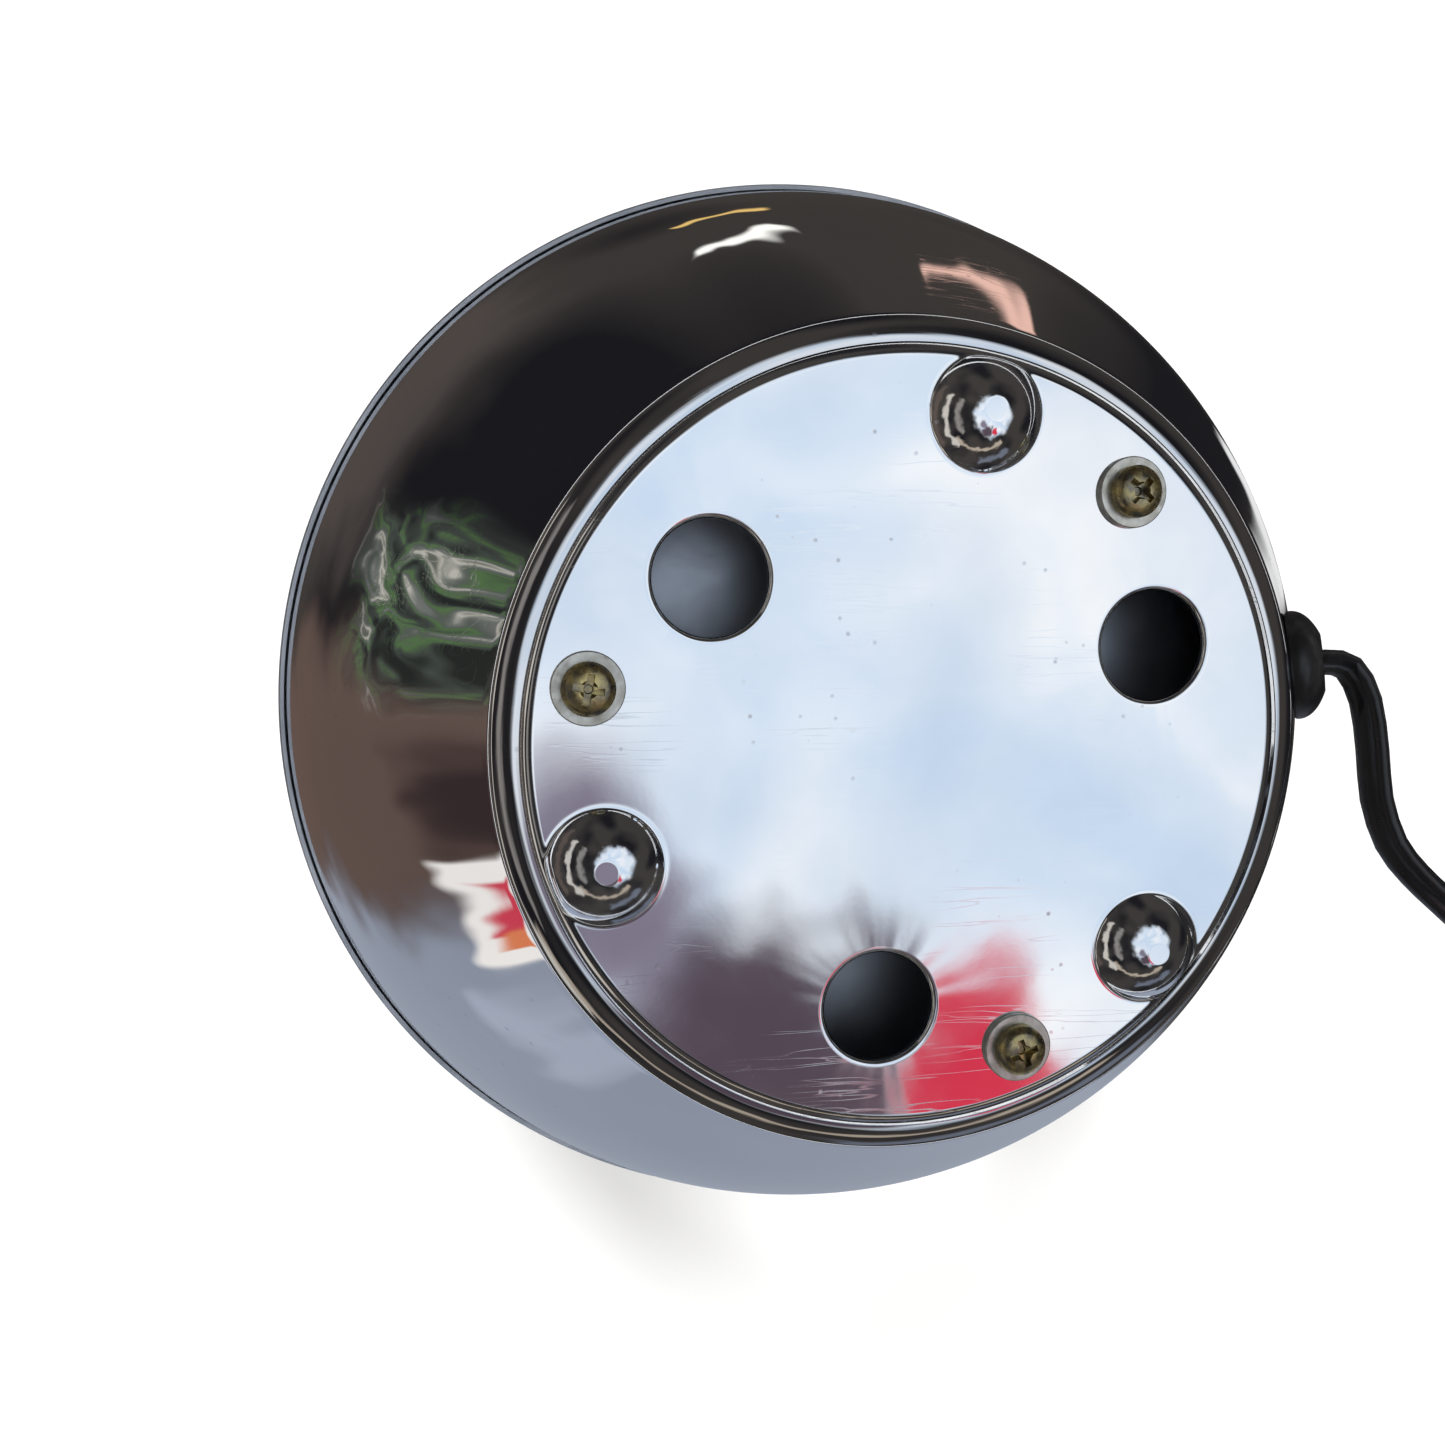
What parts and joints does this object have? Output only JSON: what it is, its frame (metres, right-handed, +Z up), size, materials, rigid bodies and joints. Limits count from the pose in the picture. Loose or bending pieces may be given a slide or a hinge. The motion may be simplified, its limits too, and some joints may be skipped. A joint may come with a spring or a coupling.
{
  "type": "flash bulb reflector head",
  "caption": "Chromed bowl-shaped flash bulb reflector head on a vented, footed base plate, with screw lampholder, bulb, flat cord, in-line switch and plug.",
  "frame": {"origin": "on the bowl's axis, at the height of the three foot tips", "axes": "+Z up along the bowl's axis, out of its mouth; +Y towards the side where the cord leaves the base; +X to the right of that"},
  "size_m": [0.2633, 0.2873, 0.1171],
  "materials": {
    "chromed_steel": "mirror-bright chrome on pressed steel",
    "chromed_plate": "mirror-bright chrome, lightly scratched",
    "zinc_hardware": "dull zinc plate",
    "passivated_screws": "yellow-passivated zinc plate, darkened",
    "spun_aluminium": "polished inside, matt outside",
    "porcelain": "white glaze",
    "brass": "bright brass",
    "phosphor_bronze": "spring bronze",
    "wire_insulation": "black vinyl",
    "black_rubber": "semi-matt black rubber",
    "cord_vinyl": "black flexible vinyl",
    "tie_plastic": "black plastic",
    "black_bakelite": "black phenolic",
    "red_rocker": "red thermoplastic",
    "black_plug": "black moulded vinyl",
    "nickel_brass": "nickel-plated brass",
    "bulb_glass": "clear lacquered glass, faintly blue",
    "cap_brass": "rolled brass cap",
    "black_glass": "black glass insulator",
    "solder": "tin solder",
    "lead_in_wire": "nickel-iron wire",
    "primer_paste": "dried priming paste",
    "magnesium_wire": "crumpled fine metal wire"
  },
  "bodies": {
    "head": {"outer_shell": "chromed_steel", "shell_nuts": "zinc_hardware", "bottom_plate": "chromed_plate", "plate_washers": "zinc_hardware", "plate_screws": "passivated_screws", "reflector_dish": "spun_aluminium", "lampholder_body": "porcelain", "holder_screws": "zinc_hardware", "holder_nuts": "zinc_hardware", "thread_sleeve": "brass", "centre_contact": "phosphor_bronze", "centre_rivet": "brass", "sleeve_terminal": "brass", "centre_terminal": "brass", "terminal_screws": "brass", "lead_wire_a": "wire_insulation", "lead_wire_b": "wire_insulation", "cord_grommet": "black_rubber", "cord_run": "cord_vinyl", "cord_link": "cord_vinyl", "cord_coil": "cord_vinyl", "coil_tie": "tie_plastic", "cord_tail": "cord_vinyl", "switch_base": "black_bakelite", "switch_cover": "black_bakelite", "switch_screws": "zinc_hardware", "switch_pivot": "zinc_hardware", "switch_contacts": "phosphor_bronze", "plug_body": "black_plug", "plug_pins": "nickel_brass"},
    "rocker": {"switch_rocker": "red_rocker", "rocker_bridge": "phosphor_bronze"},
    "bulb": {"bulb_glass": "bulb_glass", "bulb_cap": "cap_brass", "bulb_insulator": "black_glass", "bulb_stem": "bulb_glass", "bulb_leads": "lead_in_wire", "bulb_primers": "primer_paste", "bulb_filling": "magnesium_wire"},
    "bulb_carrier": {"bulb_tip": "solder"}
  },
  "joints": [
    {"name": "bulb_lift", "type": "slide", "parent": "head", "child": "bulb_carrier", "axis": [0, 0, 1], "range_m": [0, 0.00907]},
    {"name": "bulb_turn", "type": "hinge", "parent": "bulb_carrier", "child": "bulb", "pos_m": [0, 0, 0.0171], "axis": [0, 0, 1], "range_deg": [0, 900]},
    {"name": "switch_rock", "type": "hinge", "parent": "head", "child": "rocker", "pos_m": [-0.111, 0.1152, 0.0125], "axis": [0, 1, 0], "range_deg": [0, 14]}
  ],
  "couplings": [
    {"joint": "bulb_turn", "follows": "bulb_lift", "rad_per_m": 1730.9}
  ]
}
